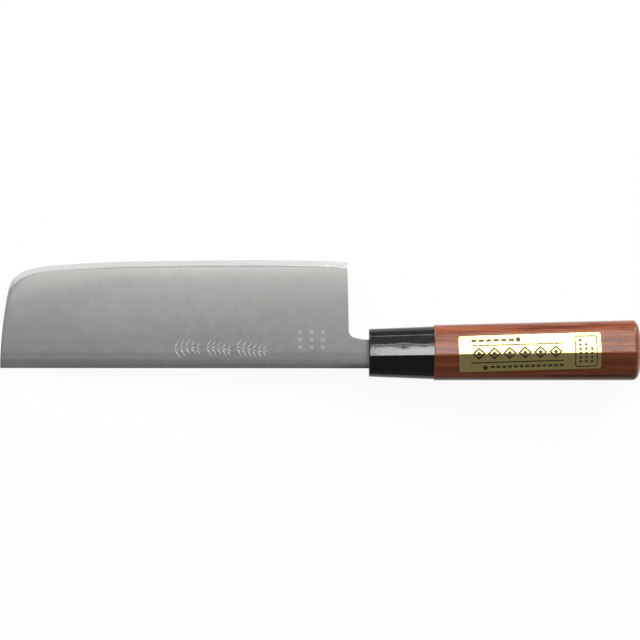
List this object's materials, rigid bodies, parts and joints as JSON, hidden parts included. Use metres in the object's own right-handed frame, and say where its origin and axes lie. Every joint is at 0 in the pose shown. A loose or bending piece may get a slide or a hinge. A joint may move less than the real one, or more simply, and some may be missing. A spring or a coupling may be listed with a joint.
{
  "type": "nakiri knife",
  "caption": "Vegetable knife with a straight-spined rectangular laminated blade, hidden tang, black collar and a ridged oval wooden grip that carries a plain label.",
  "frame": {"origin": "under the middle of the knife's bounding box, level with the lowest part of the grip, with the knife lying on its left side", "axes": "+X from the tip to the butt, +Y from the spine to the cutting edge, +Z out of the blade's right-hand side, which carries the handle's ridge and its label"},
  "size_m": [0.303, 0.0568, 0.0224],
  "materials": {
    "cladding_steel": "fine satin",
    "edge_steel": "honed bright",
    "black_plastic": "glossy",
    "grip_wood": "stained, low sheen",
    "resin": "cast, rough",
    "label_paper": "printed pale gold foil"
  },
  "bodies": {
    "root": {"blade_cladding": "cladding_steel", "core_steel": "edge_steel", "ferrule": "black_plastic", "handle_grip": "grip_wood", "tang_bedding": "resin", "handle_label": "label_paper"}
  },
  "joints": []
}
